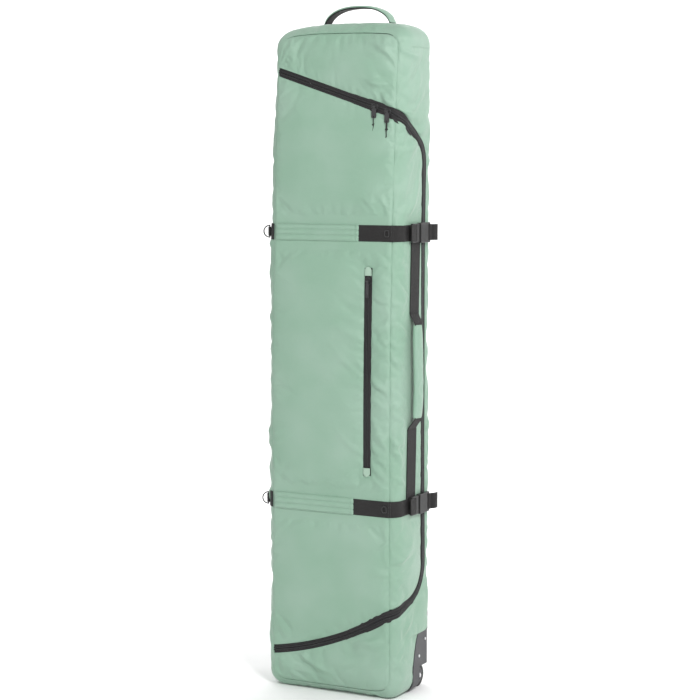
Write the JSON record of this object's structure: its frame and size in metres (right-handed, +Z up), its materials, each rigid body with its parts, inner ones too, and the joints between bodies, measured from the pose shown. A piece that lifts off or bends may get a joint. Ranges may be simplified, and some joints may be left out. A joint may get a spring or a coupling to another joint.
{
  "type": "snowboard bag",
  "caption": "Wheeled upright snowboard bag with a zipped lid, compression straps with side-release buckles, padded grab handles and a front pocket.",
  "frame": {"origin": "centre of the base on the floor, midway across the width and the depth of the filled bag", "axes": "+Z up the bag's length, -Y out of the lid at the front, +X to the viewer's right, towards the side with the zipper and buckles"},
  "size_m": [0.3899, 0.199, 1.6315],
  "materials": {
    "green_cloth": "woven polyester, padded",
    "black_webbing": "ribbed webbing",
    "zip_tape": "zipper tape",
    "zip_coil": "nylon coil",
    "garage_cloth": "stitched patch",
    "liner": "lining",
    "foam": "closed-cell foam",
    "board": "sheet",
    "black_plastic": "moulded",
    "grey_plastic": "moulded, grained",
    "dark_metal": "black finish",
    "steel": "plated",
    "tyre": "moulded",
    "cord": "braided"
  },
  "bodies": {
    "bag_body": {"back_panel": "green_cloth", "left_gusset": "green_cloth", "right_rear_gusset": "green_cloth", "top_gusset": "green_cloth", "bottom_gusset": "green_cloth", "front_top_panel": "green_cloth", "front_bottom_panel": "green_cloth", "zipper_tape_body": "zip_tape", "zipper_coil_body": "zip_coil", "back_foam": "foam", "base_board": "board", "wheel_housing_left": "grey_plastic", "wheel_housing_right": "grey_plastic", "housing_trims": "black_webbing", "housing_screws": "steel", "axle_bolts": "steel", "axle_nuts": "steel", "ring_tabs": "black_webbing", "buckle_receptacle_upper": "black_plastic", "buckle_receptacle_lower": "black_plastic", "rear_straps": "black_webbing", "top_handle_feet": "black_webbing"},
    "lid": {"lid_front_panel": "green_cloth", "lid_side_panel": "green_cloth", "zipper_tape_lid": "zip_tape", "zipper_coil_lid": "zip_coil", "lid_foam": "foam", "pocket_tape": "zip_tape", "pocket_coil": "zip_coil", "pocket_garages": "garage_cloth", "pocket_bag": "liner", "strap_sleeve_upper": "green_cloth", "strap_sleeve_lower": "green_cloth", "front_strap_upper": "black_webbing", "front_strap_lower": "black_webbing", "strap_keepers": "black_plastic", "side_webbing": "black_webbing", "haul_ramps": "black_webbing"},
    "haul_handle": {"haul_grip": "green_cloth"},
    "top_handle": {"top_handle_cover": "green_cloth", "top_handle_webbing": "black_webbing"},
    "main_slider_left": {"main_slider_left": "dark_metal"},
    "main_slider_right": {"main_slider_right": "dark_metal"},
    "pull_left": {"pull_tab_left": "dark_metal", "pull_cord_left": "cord"},
    "pull_right": {"pull_tab_right": "dark_metal", "pull_cord_right": "cord"},
    "pocket_slider": {"pocket_slider": "dark_metal"},
    "pocket_puller": {"pocket_puller": "dark_metal"},
    "plug_upper": {"buckle_plug_upper": "black_plastic", "strap_loop_upper": "black_webbing"},
    "plug_lower": {"buckle_plug_lower": "black_plastic", "strap_loop_lower": "black_webbing"},
    "ring_upper": {"d_ring_upper": "dark_metal"},
    "ring_lower": {"d_ring_lower": "dark_metal"},
    "wheel_left": {"wheel_hub_left": "grey_plastic", "wheel_tyre_left": "tyre"},
    "wheel_right": {"wheel_hub_right": "grey_plastic", "wheel_tyre_right": "tyre"}
  },
  "joints": [
    {"name": "lid_swing", "type": "hinge", "parent": "bag_body", "child": "lid", "pos_m": [-0.1565, -0.09271, 0.8], "axis": [0, 0, -1], "range_deg": [0, 135], "deforming": ["zipper_coil_lid", "zipper_tape_lid"]},
    {"name": "main_slider_left_run", "type": "slide", "parent": "bag_body", "child": "main_slider_left", "axis": [-0.9499, 0.0233, 0.3116], "range_m": [0, 0.2095], "deforming": ["zipper_coil_body"]},
    {"name": "main_slider_right_run", "type": "slide", "parent": "bag_body", "child": "main_slider_right", "axis": [0.95, -0.022, -0.3116], "range_m": [0, 0.0032]},
    {"name": "pull_left_swing", "type": "hinge", "parent": "main_slider_left", "child": "pull_left", "pos_m": [0.104, -0.07119, 1.38966], "axis": [-1, 0, 0], "range_deg": [0, 150]},
    {"name": "pull_right_swing", "type": "hinge", "parent": "main_slider_right", "child": "pull_right", "pos_m": [0.138, -0.07199, 1.3785], "axis": [-1, 0, 0], "range_deg": [0, 150]},
    {"name": "pocket_slider_run", "type": "slide", "parent": "lid", "child": "pocket_slider", "axis": [0, -0.0149, -0.9999], "range_m": [0, 0.421], "deforming": ["pocket_coil", "pocket_tape"]},
    {"name": "pocket_puller_swing", "type": "hinge", "parent": "pocket_slider", "child": "pocket_puller", "pos_m": [0.098, -0.09252, 0.98713], "axis": [-1, 0, 0], "range_deg": [0, 150]},
    {"name": "plug_upper_release", "type": "slide", "parent": "lid", "child": "plug_upper", "axis": [0, -1, 0], "range_m": [0, 0.038]},
    {"name": "plug_lower_release", "type": "slide", "parent": "lid", "child": "plug_lower", "axis": [0, -1, 0], "range_m": [0, 0.038]},
    {"name": "ring_upper_swing", "type": "hinge", "parent": "bag_body", "child": "ring_upper", "pos_m": [-0.17607, -0.07112, 1.098], "axis": [0, 0, 1], "range_deg": [-60, 60]},
    {"name": "ring_lower_swing", "type": "hinge", "parent": "bag_body", "child": "ring_lower", "pos_m": [-0.17607, -0.08176, 0.457], "axis": [0, 0, 1], "range_deg": [-60, 60]},
    {"name": "haul_handle_rock", "type": "hinge", "parent": "lid", "child": "haul_handle", "pos_m": [0.176, -0.012, 0.777], "axis": [0, 0, 1], "range_deg": [-18, 18], "deforming": ["haul_ramps"]},
    {"name": "top_handle_swing", "type": "hinge", "parent": "bag_body", "child": "top_handle", "pos_m": [0, 0.055, 1.582], "axis": [1, 0, 0], "range_deg": [-35, 35], "stiffness_Nm_per_rad": 0.15, "deforming": ["top_handle_feet"]},
    {"name": "wheel_left_spin", "type": "hinge", "parent": "bag_body", "child": "wheel_left", "pos_m": [-0.1475, 0.064, 0.0275], "axis": [1, 0, 0], "continuous": true},
    {"name": "wheel_right_spin", "type": "hinge", "parent": "bag_body", "child": "wheel_right", "pos_m": [0.1475, 0.064, 0.0275], "axis": [1, 0, 0], "continuous": true}
  ]
}
